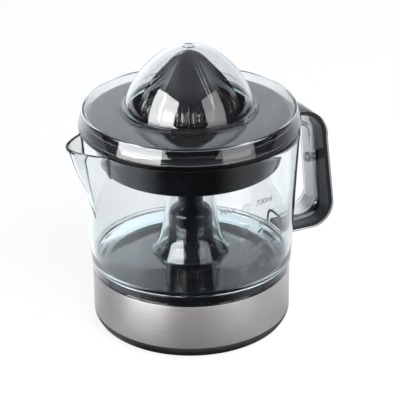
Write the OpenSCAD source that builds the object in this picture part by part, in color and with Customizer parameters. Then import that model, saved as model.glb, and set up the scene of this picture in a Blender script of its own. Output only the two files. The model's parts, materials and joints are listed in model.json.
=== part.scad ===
// Citrus press juicer: motor base, graduated jug, strainer, reamer cones and clear lid.
// Origin on the drive axis at the surface the juicer stands on. Handle towards +X, spout towards -X.

/* [Base] */
// Radius of the steel band around the base
base_r = 65.4; // [62:0.2:68]
// Height of the top edge of the steel band
band_top = 38.9; // [37:0.1:39]
// Height of the deck that the jug stands on
deck_z = 46; // [46:0.1:46.2]
// Radius of the tower inside the jug's chimney
tower_r = 14.4; // [14:0.1:14.8]
// Radius of the neck above the tower
neck_r = 8.2; // [8:0.1:8.4]

/* [Jug] */
// Outer radius of the jug at its floor
jug_floor_r = 66.5; // [66.4:0.1:67]
// Outer radius of the jug at its rim
jug_rim_r = 71.5; // [71:0.1:72]
// Height of the jug's rim
rim_z = 136.8; // [136:0.1:136.9]
// Wall thickness of the jug
jug_wall = 2.2; // [1.8:0.1:2.4]
// Reach of the spout's tip from the axis
spout_r = 86; // [82:0.5:90]
// Width of the handle
handle_w = 22; // [20:0.5:26]

/* [Strainer and cones] */
// Radius of the strainer's rim band
strainer_r = 66.9; // [66:0.1:67]
// Radius of the strainer's floor
strainer_floor_r = 59; // [58:0.1:60]
// Number of juice slots in each ring of the strainer
slot_count = 40; // [24:4:48]
// Base radius of the large cone
cone_r = 34; // [33:0.1:34.4]
// Height of the large cone's point
cone_top = 188.5; // [188:0.1:188.8]
// Number of long ridges on the large cone
ridge_count = 5; // [4:1:6]

/* [Lid] */
// Outer radius of the lid's skirt
lid_r = 71.9; // [71.5:0.1:72.4]
// Height of the lid's flat top
lid_z = 150.5; // [150:0.1:151]
// Radius of the dome where it meets the lid
dome_r = 41.9; // [41:0.1:43]
// Height of the dome's top
dome_top = 191.5; // [191.2:0.1:193]
// Thickness of the lid
lid_t = 1.8; // [1.4:0.1:1.8]

/* [Drive] */
// Radius of the drive shaft
shaft_r = 3; // [2.8:0.1:3]
// Module of the motor stage's teeth
fast_module = 0.8; // [0.8:0.1:0.8]
// Module of the output stage's teeth
slow_module = 1; // [1:0.1:1]
// Teeth of each pinion
pinion_teeth = 12; // [12:1:12]
// Teeth of each large gear
gear_teeth = 48; // [48:1:48]
// Height of the motor can
motor_h = 21; // [18:1:21]

/* [Hidden] */
$fn = 96;

run_gap = 0.05;             // radial clearance of a running fit
foot_h = 1;                 // the foot ring stands this far out of the cover
band_z = 8.2;               // lower edge of the steel band
band_t = 0.65;              // sheet thickness of the band
wall = 2.2;                 // wall of the base mouldings
post_r = 3.5;
tower_foot_r = 24;          // radius of the tower's flared foot
tower_top = 79.5;
cover_posts = [for (a = [30, 150, 210, 330]) 56.4 * [cos(a), sin(a)]];
gland_z = 17;
gland_bore_r = 3.2;

// Drive train, in plan
fast_centres = fast_module * (pinion_teeth + gear_teeth) / 2;
slow_centres = slow_module * (pinion_teeth + gear_teeth) / 2;
motor_x = -33;
idler_x = (pow(fast_centres, 2) - pow(slow_centres, 2) - motor_x * motor_x) / (-2 * motor_x);
idler_y = sqrt(pow(slow_centres, 2) - idler_x * idler_x);
idler_from_axis = atan2(idler_y, idler_x);
motor_from_idler = atan2(-idler_y, motor_x - idler_x);

// Drive train, heights
can_z = 4.6;
plate_z = can_z + motor_h + 0.2;
plate_t = 1.5;
plate_top = plate_z + plate_t;
plate_posts = [[26, -26], [26, 30], [-38, -28], [-30, 44]];
fast_gear_z = plate_top + 1.5;
slow_gear_z = fast_gear_z + 4.8;
gear_hub_top = 42;
pin_z = 37;
pin_r = 1.5;
press_travel = 2;
shaft_bottom = 18.5;
ring_z = 60;
neck_top = 112.5;
spindle_top = 128;
lever_pivot = [21, 16.9];
lever_axle_r = 1;
switch_box = [[4, -3.2, 4.7], [20, 6.4, 9.6]];  // corner and size of the switch
can_r = 25;
rotor_shaft_r = 1.6;
motor_screw_y = [-20, 20];
axle_r = 2;
bush_r = shaft_r + run_gap + 3;
bush_top = plate_top + 3.2;
gear_hub_r = 9.4;
pin_half = 7.8;
tooth_play = 0.06;          // each side of a tooth is this much thinner at the pitch circle
spring_r = 5.6;
spring_wire_r = 0.6;
spring_turns = 6;

// Jug
floor_z = deck_z + 0.4;
floor_t = 2.4;
skirt_z = 39.7;
chimney_top = 112.8;
chimney_wall = 1.8;
spout_half_angle = 18;
spout_root_z = 88;

// Handle: centres and radii of its outer corners and of the corner under the grip
handle_d = 11.4;
handle_top_c = [76.2, 112.6];
handle_top_r = 21.6;
handle_low_c = [87.3, 62.6];
handle_low_r = 16;
grip_low_c = [80.5, 68.5];
grip_low_r = 9.6;
channel_t = 2;
cover_t = 3.4;
boss_z = 95;
boss_x = 86;                // inner end of the channel's boss
boss_len = 6.5;
cover_boss_end = 97;
boss_r = 3.4;
screw_seat_x = 89.8;
screw_tip_x = 97.4;

// Strainer, cones and lid
lip_r = 71.2;
lid_lean = 2.5;             // the lid's skirt leans in by this much on its way up
strainer_top = 144.4;
dome_c = 138.9;             // height of the dome's centre
cone_z = 118.6;
cone_t = 3.6;               // from the long ridges' edges to the large cone's inside
ridge_turn = -27;
spindle_hex_r = 6.5;

function jug_r(z) = jug_floor_r + (jug_rim_r - jug_floor_r) * (z - floor_z) / (rim_z - floor_z);
// Points of an arc about c from angle a0 to a1
function arc(c, r, a0, a1, n = 8) = [for (i = [0:n])
    let (a = a0 + (a1 - a0) * i / n)
    c + r * [cos(a), sin(a)]];
// Outer radius of the chimney: a slow taper that flares into the floor
function chimney_r(z) = 14.9 + 5 * pow((chimney_top - z) / 64, 2) + 7.05 * exp(-(z - floor_z) / 10.4);
function chimney_line(inset) = [for (i = [0:12])
    let (t = i / 12, z = floor_z + (chimney_top - floor_z) * t * t)
    [chimney_r(z) - inset, z]];
// Outer radius of the large cone, from its base up to its point
cone_curve = [[33.6, 146], [32.6, 152], [30, 158.5], [25.6, 165.5], [20.4, 172], [15, 178], [10.6, 182.8],
    [6, 186.3]];
function cone_profile(inset, z0) = concat([[cone_r - inset, z0], [cone_r - inset, 140]],
    [for (p = cone_curve) [max(p[0] - inset, 0.2), p[1] - inset * 0.35]],
    [[0, cone_top - inset * 1.3]]);

// Point of the dome, f from 0 at its foot to 1 at its top, inset into the wall
function dome_point(inset, f) = let (foot = inset > 0 ? lid_z - lid_t : lid_z + 0.9,
        low = asin((foot - dome_c) / (dome_top - dome_c - inset)), a = low + (90 - low) * f)
    [f == 1 ? 0 : (dome_r - inset) * cos(a), dome_c + (dome_top - dome_c - inset) * sin(a)];

module ring(r_out, r_in, z, h) {
    translate([0, 0, z])
        difference() {
            cylinder(r = r_out, h = h);
            translate([0, 0, -1])
                cylinder(r = r_in, h = h + 2);
        }
}

module screw(head_r, head_h, shank_r, length) {
    // Pan head at the origin, shank down -Z, with a cross recess
    difference() {
        union() {
            cylinder(r = head_r, h = head_h);
            translate([0, 0, -length])
                cylinder(r = shank_r, h = length + 0.1);
        }
        for (a = [0, 90])
            rotate([0, 0, a])
                translate([-head_r * 0.65, -0.3, head_h - 0.5])
                    cube([head_r * 1.3, 0.6, 1]);
    }
}

// ---- Base ----

module base_housing() {
    color("#1c1c1f")
        difference() {
            union() {
                rotate_extrude()
                    polygon(concat(
                        [[62.2, band_z], [base_r - band_t - 0.05, band_z], [base_r - band_t - 0.05, band_top],
                            [base_r - 0.1, band_top], [base_r - 0.1, band_top + 0.5], [64, band_top + 0.5]],
                        arc([62.6, deck_z - 1.4], 1.4, 0, 90, 4),
                        [for (i = [0:8]) let (a = i * 90 / 8)
                            [tower_foot_r - (tower_foot_r - tower_r) * sin(a), deck_z + 16 * (1 - cos(a))]],
                        arc([tower_r - 4, tower_top - 4], 4, 0, 80, 6),
                        [[neck_r, tower_top + 0.9], [neck_r, neck_top - 0.8], [neck_r - 0.8, neck_top],
                            [bush_r + run_gap, neck_top], [bush_r + run_gap, tower_top - 2],
                            [tower_r - wall, tower_top - 6], [tower_r - wall, 47], [16, deck_z - wall],
                            [62.2, deck_z - wall]]));
                for (p = cover_posts)
                    translate([p[0], p[1], 5.3])
                        cylinder(r = post_r, h = deck_z - 7);
                for (p = plate_posts)
                    translate([p[0], p[1], plate_top])
                        cylinder(r = 3, h = deck_z - plate_top - 1);
            }
            for (p = cover_posts)
                translate([p[0], p[1], 0])
                    cylinder(r = 1.2, h = 16);
            for (p = plate_posts)
                translate([p[0], p[1], 0])
                    cylinder(r = 1.2, h = 38);
            translate([0, 70, gland_z])
                rotate([90, 0, 0])
                    cylinder(r = 4.5, h = 12);
        }
}

module steel_band() {
    color("#b9b5b2")
        difference() {
            ring(base_r, base_r - band_t, band_z, band_top - band_z - 0.05);
            translate([0, 70, gland_z])
                rotate([90, 0, 0])
                    cylinder(r = 4.5, h = 12);
        }
}

module bottom_cover() {
    slot_len = 22;
    color("#3e3e42")
        difference() {
            union() {
                rotate_extrude()
                    polygon(concat([[0, foot_h], [61.6, foot_h]],
                        [for (i = [0:5]) let (t = i / 5) [62.9 + 2.5 * sin(90 * t), foot_h + 1 + 6 * t]],
                        [[base_r, band_z - 0.1], [62, band_z - 0.1], [61.8, 4.6], [60.4, 3.2], [0, 3.2]]));
                for (p = cover_posts)
                    translate([p[0], p[1], 2])
                        cylinder(r = 4.6, h = 3.2);
                translate([switch_box[0][0], -4, 3])
                    cube([switch_box[1][0], 8, 1.6]);
            }
            for (p = cover_posts)
                translate([p[0], p[1], 0]) {
                    cylinder(r = 3.2, h = 3.2);
                    cylinder(r = 1.7, h = 8);
                }
            for (i = [0:6])
                translate([motor_x - 13.5 + i * 4, -slot_len / 2, 0])
                    cube([2, slot_len, 5]);
            rotate_extrude()
                translate([46, 0])
                    square([6, 2]);
        }
}

module foot_ring() {
    color("#202022")
        ring(51.9, 46.1, 0, 2);
}

module cover_screws() {
    color("#8c8c90")
        for (p = cover_posts)
            translate([p[0], p[1], 3.1])
                mirror([0, 0, 1])
                    screw(2.8, 1.6, 1.15, 10);
}

module cord_gland() {
    color("#202022")
        translate([0, 0, gland_z])
            rotate([-90, 0, 0])
                difference() {
                    union() {
                        translate([0, 0, 59.5])
                            cylinder(r = 4.4, h = 8);
                        translate([0, 0, base_r + 0.1])
                            cylinder(r = 5.6, h = 2);
                        translate([0, 0, 59.5])
                            cylinder(r = 5.6, h = 2);
                    }
                    translate([0, 0, 50])
                        cylinder(r = gland_bore_r, h = 20);
                }
}

// ---- Drive ----

// Angle of an involute tooth's flank at radius r
function involute(base, r) = let (a = acos(base / r)) tan(a) * 180 / PI - a;
// Half a tooth: radius and half angle, from the tooth's foot to its tip
function half_tooth(teeth, mod) = let (pitch = teeth * mod / 2, base = pitch * cos(25),
        foot = max(base, pitch - 1.15 * mod) + 0.001, tip = pitch + 0.9 * mod,
        half = 90 / teeth - tooth_play / pitch * 180 / PI)
    [for (i = [0:4])
        let (r = foot + (tip - foot) * i / 4)
        [r, half + involute(base, pitch) - involute(base, r)]];
function gear_points(teeth, mod) = let (root = teeth * mod / 2 - 1.15 * mod, h = half_tooth(teeth, mod))
    [for (t = [0:teeth - 1]) let (mid = t * 360 / teeth)
        for (q = concat([[root, mid - h[0][1] - 0.2]], [for (f = h) [f[0], mid - f[1]]],
                [for (i = [4:-1:0]) [h[i][0], mid + h[i][1]]], [[root, mid + h[0][1] + 0.2]]))
            q[0] * [cos(q[1]), sin(q[1])]];

module gear(teeth, mod, h, turn) {
    rotate([0, 0, turn])
        linear_extrude(h)
            polygon(gear_points(teeth, mod));
}

module gear_plate() {
    color("#a9a9ad")
        difference() {
            intersection() {
                translate([-44, -34, plate_z])
                    cube([78, 82, plate_t]);
                translate([0, 0, plate_z])
                    cylinder(r = 58, h = plate_t);
            }
            for (p = plate_posts)
                translate([p[0], p[1], plate_z - 1])
                    cylinder(r = 1.4, h = 4);
            for (y = motor_screw_y)
                translate([motor_x, y, plate_z - 1])
                    cylinder(r = 1.3, h = 4);
            translate([motor_x, 0, plate_z - 1])
                cylinder(r = 4, h = 4);
            translate([idler_x, idler_y, plate_z - 1])
                cylinder(r = axle_r, h = 4);
            translate([0, 0, plate_z - 1])
                cylinder(r = 5.5, h = 4);
        }
}

module plate_screws() {
    color("#8c8c90")
        for (p = plate_posts)
            translate([p[0], p[1], plate_z])
                mirror([0, 0, 1])
                    screw(2.6, 1.4, 1.15, 9);
}

module motor_can() {
    color("#b4b4b8")
        translate([motor_x, 0, can_z])
            difference() {
                cylinder(r = can_r, h = motor_h);
                translate([0, 0, 1])
                    cylinder(r = can_r - 1, h = motor_h - 2);
                translate([0, 0, motor_h - 2])
                    cylinder(r = rotor_shaft_r + run_gap, h = 3);
                for (y = motor_screw_y)
                    translate([0, y, motor_h - 2])
                        cylinder(r = 1.1, h = 3);
            }
}

module motor_coil() {
    color("#a8622c")
        translate([motor_x, 0, 0])
            ring(22.5, 14, can_z + 3, motor_h - 6);
}

module motor_screws() {
    color("#8c8c90")
        for (y = motor_screw_y)
            translate([motor_x, y, plate_top])
                screw(2.5, 1.1, 1.05, 2.5);
}

module motor_rotor() {
    color("#5c5c62")
        translate([motor_x, 0, can_z]) {
            translate([0, 0, 2.5])
                cylinder(r = 13, h = motor_h - 5);
            translate([0, 0, 1.4])
                cylinder(r = rotor_shaft_r, h = motor_h + 6.6);
        }
}

module motor_pinion() {
    color("#c9a227")
        translate([motor_x, 0, fast_gear_z - 0.4])
            difference() {
                gear(pinion_teeth, fast_module, 4.4, motor_from_idler + 180 + 180 / pinion_teeth);
                translate([0, 0, -1])
                    cylinder(r = rotor_shaft_r, h = 7);
            }
}

module idler_axle() {
    color("#c4c4c8")
        translate([idler_x, idler_y, plate_z])
            cylinder(r = axle_r, h = 16);
}

module idler_gear() {
    color("#e8e4d8")
        translate([idler_x, idler_y, 0])
            difference() {
                union() {
                    translate([0, 0, fast_gear_z])
                        gear(gear_teeth, fast_module, 3.5, motor_from_idler);
                    translate([0, 0, fast_gear_z + 3])
                        cylinder(r = 4.7, h = 8.4);
                    translate([0, 0, slow_gear_z - 1.2])
                        gear(pinion_teeth, slow_module, 7.8, idler_from_axis + 180 + 180 / pinion_teeth);
                }
                cylinder(r = axle_r + run_gap, h = 60);
            }
}

module output_gear() {
    color("#e8e4d8")
        difference() {
            union() {
                translate([0, 0, slow_gear_z])
                    gear(gear_teeth, slow_module, 6, idler_from_axis);
                translate([0, 0, bush_top + 0.3])
                    cylinder(r = gear_hub_r, h = gear_hub_top - bush_top - 0.3);
            }
            cylinder(r = shaft_r + run_gap, h = 60);
            translate([-pin_half - 0.3, -pin_r - run_gap, pin_z - press_travel - pin_r - 0.1])
                cube([2 * pin_half + 0.6, 2 * (pin_r + run_gap), 20]);
            for (a = [30:60:330])
                rotate([0, 0, a])
                    translate([16, 0, 0])
                        cylinder(r = 4, h = 60);
        }
}

module lower_bush() {
    color("#b08d4f") {
        ring(5.45, shaft_r + run_gap, plate_z - 3.5, plate_t + 3.5 + 0.1);
        ring(8, shaft_r + run_gap, plate_top, bush_top - plate_top);
    }
}

module upper_bush() {
    color("#b08d4f")
        ring(bush_r, shaft_r + run_gap, neck_top - 12.5, 9.5);
}

module shaft_seal() {
    color("#202022")
        ring(bush_r, shaft_r + run_gap, neck_top - 2.6, 2.4);
}

module drive_shaft() {
    color("#c9c9ce")
        difference() {
            translate([0, 0, shaft_bottom])
                cylinder(r = shaft_r, h = spindle_top - 2 - shaft_bottom);
            translate([-10, 0, pin_z])
                rotate([0, 90, 0])
                    cylinder(r = pin_r, h = 20);
        }
}

module drive_pin() {
    color("#9c9ca0")
        translate([-pin_half, 0, pin_z])
            rotate([0, 90, 0])
                cylinder(r = pin_r, h = 2 * pin_half);
}

module drive_spindle() {
    color("#242427")
        difference() {
            union() {
                translate([0, 0, neck_top + press_travel + 0.6])
                    cylinder(r = 7.4, h = 1.6);
                translate([0, 0, neck_top + press_travel + 2])
                    cylinder(r = spindle_hex_r, h = spindle_top - neck_top - press_travel - 2, $fn = 6);
            }
            translate([0, 0, neck_top])
                cylinder(r = shaft_r, h = spindle_top - neck_top - 2);
        }
}

module retaining_ring() {
    color("#9c9ca0")
        ring(8, shaft_r, ring_z, 1.6);
}

module return_spring() {
    // Helix of round wire between the gear's hub and the ring on the shaft
    sides = 8;
    steps = spring_turns * 20;
    low = gear_hub_top + spring_wire_r + 0.1;
    rise = ring_z - spring_wire_r - 0.1 - low;
    points = [for (i = [0:steps]) let (a = 360 * i / 20, z = low + rise * i / steps)
        for (j = [0:sides - 1]) let (b = 360 * j / sides, r = spring_r + spring_wire_r * cos(b))
            [r * cos(a), r * sin(a), z + spring_wire_r * sin(b)]];
    faces = concat([[for (j = [0:sides - 1]) j]],
        [for (i = [0:steps - 1]) for (j = [0:sides - 1]) let (k = (j + 1) % sides)
            [i * sides + j, (i + 1) * sides + j, (i + 1) * sides + k, i * sides + k]],
        [[for (j = [sides - 1:-1:0]) steps * sides + j]]);
    color("#9c9ca0")
        polyhedron(points, faces);
}

module switch_body() {
    color("#2a2a2e")
        difference() {
            union() {
                translate(switch_box[0])
                    cube(switch_box[1]);
                for (y = [-3.2, 1.9])
                    translate([lever_pivot[0] - 2, y, 14])
                        cube([4, 1.3, 4.6]);
            }
            translate([lever_pivot[0], -4, lever_pivot[1]])
                rotate([-90, 0, 0])
                    cylinder(r = lever_axle_r + run_gap, h = 8);
        }
}

module switch_lever() {
    color("#c4c4c8") {
        translate([lever_pivot[0], -3.6, lever_pivot[1]])
            rotate([-90, 0, 0])
                cylinder(r = lever_axle_r, h = 7.2);
        translate([-shaft_r, -1.6, lever_pivot[1] + 0.6])
            cube([lever_pivot[0] + shaft_r, 3.2, 0.6]);
    }
}

// ---- Jug ----

module spout_solid(inset) {
    // Solid V of the spout, from the rim's edge to the wall below, shrunk by inset
    root = spout_root_z + inset * 2;
    side = spout_half_angle - inset * 1.2;
    top = rim_z - 0.2;
    lift = inset > 0 ? 6 : 0;
    hull() {
        for (a = [-side, side])
            rotate([0, 0, 180 + a])
                translate([jug_rim_r - 3, 0, top - 8])
                    cylinder(r = 0.6, h = 8 + lift, $fn = 12);
        translate([-spout_r + 2 + inset, 0, rim_z + 0.5])
            cylinder(r = 2, h = 1 + lift, $fn = 32);
        translate([-spout_r + 8 + inset, 0, rim_z - 19])
            sphere(r = 2.4, $fn = 24);
        translate([-jug_r(root) + 2.4, 0, root])
            sphere(r = 1.2, $fn = 20);
    }
}

// Side view of the handle, as [distance from the axis, height]. The outer line runs down from the
// rim and the inner line runs back up; each can be moved into the handle by inset.
function handle_outer(inset) = concat([[jug_rim_r - 2.5, 135.9 - inset]],
    arc(handle_top_c, handle_top_r - inset, 72, -4, 8), arc(handle_low_c, handle_low_r - inset, 8, -85, 8),
    [[jug_floor_r - 0.3, 47 + inset]]);
function handle_inner(inset) = concat([[jug_floor_r - 0.3, 58.6 - inset]],
    arc(grip_low_c, grip_low_r + inset, -85, 4, 6),
    arc(handle_top_c, handle_top_r - handle_d + inset, -4, 72, 6),
    [[jug_rim_r - 2.5, 124.5 + inset]]);

module handle_slab(points, w) {
    translate([0, w / 2, 0])
        rotate([90, 0, 0])
            linear_extrude(w)
                polygon(points);
}

module wall_cone(gap) {
    // The jug's outer surface and what it holds, out to gap beyond the wall
    cylinder(r1 = jug_r(0) + gap, r2 = jug_r(rim_z) + gap, h = rim_z);
}

module boss(x, r, length) {
    translate([x, 0, boss_z])
        rotate([0, 90, 0])
            cylinder(r = r, h = length);
}

module handle_channel() {
    // U-section, open on its outer side, with the boss of the cover's screw
    difference() {
        union() {
            difference() {
                handle_slab(concat(handle_outer(0), handle_inner(0)), handle_w);
                difference() {
                    handle_slab(concat(handle_outer(-4), handle_inner(channel_t)), handle_w - 2 * channel_t);
                    wall_cone(0.1);
                }
            }
            boss(boss_x, boss_r, boss_len);
        }
        boss(80, 1.4, 30);
        boss(80, 2.4, screw_seat_x - 80);
    }
}

module jug_inside(inset, z0) {
    // The jug's inside, moved inset into its wall
    translate([0, 0, z0])
        cylinder(r1 = jug_r(z0) - jug_wall + inset, r2 = jug_r(rim_z + 20) - jug_wall + inset,
            h = rim_z + 20 - z0);
}

module jug() {
    chimney_in = chimney_line(chimney_wall);
    color("#d4e2e4", 0.4) {
        difference() {
            rotate_extrude()
                polygon(concat(
                    [[jug_floor_r - 1.9, skirt_z], [jug_floor_r - 0.7, skirt_z],
                        [jug_floor_r, floor_z + 0.6]],
                    [[jug_rim_r, rim_z - 0.8], [jug_rim_r - 0.6, rim_z],
                        [jug_rim_r - jug_wall + 0.4, rim_z], [jug_rim_r - jug_wall, rim_z - 0.6],
                        [jug_r(floor_z) - jug_wall, floor_z + floor_t + 1.2],
                        [jug_floor_r - jug_wall - 1.2, floor_z + floor_t]],
                    [for (p = chimney_line(0)) if (p[1] > floor_z + floor_t) p],
                    [for (i = [len(chimney_in) - 1:-1:0]) chimney_in[i]],
                    [[jug_floor_r - 1.9, floor_z]]));
            spout_solid(jug_wall);
        }
        difference() {
            spout_solid(0);
            spout_solid(jug_wall);
            jug_inside(jug_wall / 2, 60);
        }
        difference() {
            handle_channel();
            jug_inside(jug_wall / 2, 44);
        }
    }
}

module handle_cover() {
    // Strip that closes the channel, with a boss for its screw
    inner = handle_outer(cover_t);
    color("#17171a")
        difference() {
            union() {
                difference() {
                    handle_slab(concat(handle_outer(0), [for (i = [len(inner) - 1:-1:0]) inner[i]]),
                        handle_w - 2 * channel_t - 0.2);
                    wall_cone(0.3);
                }
                boss(boss_x + boss_len + 0.1, boss_r, cover_boss_end - boss_x - boss_len);
            }
            boss(80, 1.1, screw_tip_x + 0.2 - 80);
        }
}

module handle_screw() {
    color("#8c8c90")
        translate([screw_seat_x, 0, boss_z])
            rotate([0, -90, 0])
                screw(2.2, 1.4, 1, screw_tip_x - screw_seat_x);
}

// ---- Strainer, cones and lid ----

module strainer() {
    floor_top = 116;
    t = 2;
    hub_low = 107;
    hub_r = neck_r + 1;
    skirt_r = chimney_r(hub_low) + 0.6;
    color("#19191b")
        difference() {
            rotate_extrude()
                polygon(concat(
                    [[hub_r, floor_top - t - 0.4], [skirt_r, floor_top - t - 0.4], [skirt_r, hub_low],
                        [skirt_r + 1.8, hub_low], [skirt_r + 1.8, floor_top - t - 0.6]],
                    arc([strainer_floor_r - 3.4, floor_top - t + 2.8], 3.4, -90, -10, 5),
                    [[strainer_r - 1.5, rim_z + 0.15], [lip_r - 0.6, rim_z + 0.15], [lip_r, rim_z + 0.8],
                        [lip_r, rim_z + 2.8], [lip_r - 0.4, rim_z + 3.3], [strainer_r + 0.1, rim_z + 3.3]],
                    arc([strainer_r - 1.2, strainer_top - 1.2], 1.2, 0, 180, 6),
                    [[strainer_r - 2.5, rim_z + 3], [strainer_floor_r - 1.4, floor_top + 2.4],
                        [strainer_floor_r - 3.6, floor_top], [hub_r + 2, floor_top],
                        [hub_r + 2, floor_top + 4.5], [hub_r, floor_top + 4.5]]));
            for (i = [0:slot_count - 1])
                rotate([0, 0, i * 360 / slot_count]) {
                    translate([43, -0.8, floor_top - t - 2])
                        cube([11, 1.6, 8]);
                    rotate([0, 0, 180 / slot_count])
                        translate([24, -0.7, floor_top - t - 2])
                            cube([13, 1.4, 8]);
                }
        }
}

module small_cone() {
    flange_r = cone_r - cone_t - 0.15;
    color("#242427")
        difference() {
            union() {
                rotate_extrude()
                    polygon([[22, cone_z + 0.6], [flange_r, cone_z + 0.6], [flange_r, cone_z + 2.4],
                        [25.4, cone_z + 2.4], [24.6, 134], [21, 146], [15, 156], [8, 163.5], [0, 168.5],
                        [0, 165.5], [7, 161.2], [13.4, 154.4], [19, 145], [22.6, 133.6],
                        [23.2, cone_z + 2.2]]);
                translate([0, 0, neck_top + press_travel + 4])
                    cylinder(r = neck_r + 0.7, h = 41);
                for (a = [0:60:300])
                    rotate([0, 0, a])
                        intersection() {
                            rotate_extrude()
                                polygon([[20, 132], [26.4, 132], [22.6, 146], [16.4, 156.4], [9, 164.6],
                                    [0, 170.6], [0, 160]]);
                            translate([0, -0.8, 120])
                                cube([40, 1.6, 60]);
                        }
            }
            translate([0, 0, neck_top])
                cylinder(r = spindle_hex_r + 0.35, h = spindle_top - neck_top + 0.6, $fn = 6);
            translate([0, 0, neck_top])
                cylinder(r = 8, h = press_travel + 5);
        }
}

module large_cone() {
    color("#1b1b1e")
        difference() {
            union() {
                rotate_extrude()
                    polygon(cone_profile(1.6, cone_z));
                for (i = [0:ridge_count - 1])
                    for (half = [0, 1])
                        rotate([0, 0, ridge_turn + (i + half / 2) * 360 / ridge_count])
                            intersection() {
                                rotate_extrude(angle = 180)
                                    polygon(cone_profile(0, cone_z));
                                translate([-1, 0, cone_z])
                                    cube([2, cone_r + 2, half == 0 ? 80 : 46]);
                            }
            }
            rotate_extrude()
                polygon(concat(cone_profile(cone_t, cone_z - 1), [[0, cone_z - 1]]));
        }
}

module lid() {
    top_in = lid_z - lid_t;
    edge = [lid_r - lid_lean - 1.2, lid_z - 1.2];
    color("#dfe8ea", 0.35) {
        rotate_extrude()
            polygon(concat(
                [[lid_r - lid_t, rim_z + 3.6], [lid_r, rim_z + 3.6]],
                arc(edge, 1.2, 15, 90, 5),
                [[dome_r + 2, lid_z]],
                [for (i = [0:16]) dome_point(0, i / 16)],
                [for (i = [16:-1:0]) dome_point(lid_t, i / 16)],
                [[dome_r + 1, top_in], [edge[0] - 0.6, top_in]]));
        translate([0, 0, dome_top - 0.6])
            cylinder(r = 3.9, h = 0.9);
    }
}

base_housing();
steel_band();
bottom_cover();
foot_ring();
cover_screws();
cord_gland();
gear_plate();
plate_screws();
motor_can();
motor_coil();
motor_screws();
motor_rotor();
motor_pinion();
idler_axle();
idler_gear();
output_gear();
lower_bush();
upper_bush();
shaft_seal();
drive_shaft();
drive_pin();
drive_spindle();
retaining_ring();
return_spring();
switch_body();
switch_lever();
jug();
handle_cover();
handle_screw();
strainer();
small_cone();
large_cone();
lid();
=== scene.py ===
"""Citrus press juicer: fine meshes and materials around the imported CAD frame.

Shapes are drawn in millimetres and turned into metres when a mesh is made. The drive axis is Z, the
handle is towards +X, the spout towards -X and the graduations towards -Y.
"""

import json
import math

import bmesh
import bpy
from mathutils import Matrix, Vector


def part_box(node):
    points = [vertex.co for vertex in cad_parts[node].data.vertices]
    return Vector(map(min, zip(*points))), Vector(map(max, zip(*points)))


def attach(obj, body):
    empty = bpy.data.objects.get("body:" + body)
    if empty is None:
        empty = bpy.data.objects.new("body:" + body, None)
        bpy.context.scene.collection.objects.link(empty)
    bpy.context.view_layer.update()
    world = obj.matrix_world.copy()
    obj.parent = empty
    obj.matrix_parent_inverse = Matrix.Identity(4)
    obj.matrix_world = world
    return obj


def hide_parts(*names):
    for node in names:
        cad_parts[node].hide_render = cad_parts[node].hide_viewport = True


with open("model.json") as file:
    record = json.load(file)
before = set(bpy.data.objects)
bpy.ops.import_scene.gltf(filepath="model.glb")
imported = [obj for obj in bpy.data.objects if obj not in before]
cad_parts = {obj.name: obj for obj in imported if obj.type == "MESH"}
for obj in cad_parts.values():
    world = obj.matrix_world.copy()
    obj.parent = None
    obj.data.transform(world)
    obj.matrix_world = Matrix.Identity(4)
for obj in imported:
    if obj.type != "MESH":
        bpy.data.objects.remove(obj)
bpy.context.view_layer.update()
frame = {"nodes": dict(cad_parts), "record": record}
MM = 0.001


def box_mm(node):
    """Lowest and highest corner of a CAD node, in millimetres."""
    low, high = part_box(node)
    return low / MM, high / MM


# ---- Sizes, from the frame ----

BAND_LOW, BAND_HIGH = box_mm("steel_band")
BASE_R = BAND_HIGH.x
HOUSING_TOP = box_mm("base_housing")[1].z
JUG_LOW, JUG_HIGH = box_mm("jug")
GLAND_LOW, GLAND_HIGH = box_mm("cord_gland")
STRAINER_HIGH = box_mm("strainer")[1]
CONE_LOW, CONE_HIGH = box_mm("large_cone")
LID_LOW, LID_HIGH = box_mm("lid")
SCREW_LOW, SCREW_HIGH = box_mm("handle_screw")

DECK_Z = BAND_HIGH.z + 7.15         # deck that the jug stands on
DECK_R = 64
SEAT_IN_R = 62.2                    # inner radius of the wall that the band sits on
TOWER_R = 14.4
TOWER_FOOT_R = 24
TOWER_FLARE = 16                    # height of the tower's flared foot
SHOULDER_R = 4
SHOULDER_Z = 75.5
NECK_R = 8.2
NECK_LOW = 80.4
SHAFT_BORE = 6.1
SHAFT_BORE_LOW = 77.5
HOUSING_WALL = 2.2
TOWER_HOLLOW = (47, 73.5)           # from and to, in height
GLAND_Z = (GLAND_LOW.z + GLAND_HIGH.z) / 2
GLAND_HOLE = 4.5
POST_CIRCLE = 56.4                  # the bottom cover's screw posts stand on this radius
POST_ANGLES = (30, 150, 210, 330)
POST_R = 3.5
POST_HOLE = 1.2
POST_LOW = 5.3
POST_HOLE_TOP = 16

FLOOR_Z = DECK_Z + 0.4              # underside of the jug's floor
FLOOR_T = 2.4
JUG_FLOOR_R = 66.5
SPOUT_LIFT = 1.5                    # the spout's tip stands this far above the rim
RIM_Z = JUG_HIGH.z - SPOUT_LIFT
JUG_RIM_R = 71.5
JUG_WALL = 2.2
SKIRT_Z = JUG_LOW.z
SKIRT_T = 1.9
WALL_LOW = FLOOR_Z + 1.4            # the wall's even rows start here
CHIMNEY_TOP = 112.8
CHIMNEY_WALL = 1.8
CHIMNEY_R = 14.9
CHIMNEY_TAPER = 5                   # growth in radius over the taper's height
CHIMNEY_TAPER_H = 64
CHIMNEY_FLARE = 7.05                # growth in radius at the floor, which dies away over this height
CHIMNEY_FLARE_H = 10.4
SPOUT_R = -JUG_LOW.x
SPOUT_ROOT_Z = 88
SPOUT_OPENING = 36                  # height over which the spout opens to its full width
SPOUT_HALF = math.radians(18)
SPOUT_BLUNT = math.radians(8)
SPOUT_LIFT_FROM = 14                # the lift starts this far below the rim
SKIRT_RIBS = 15
SKIRT_RIB_FIRST = math.radians(-47)
SKIRT_RIB_STEP = math.radians(-24.5)

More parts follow.
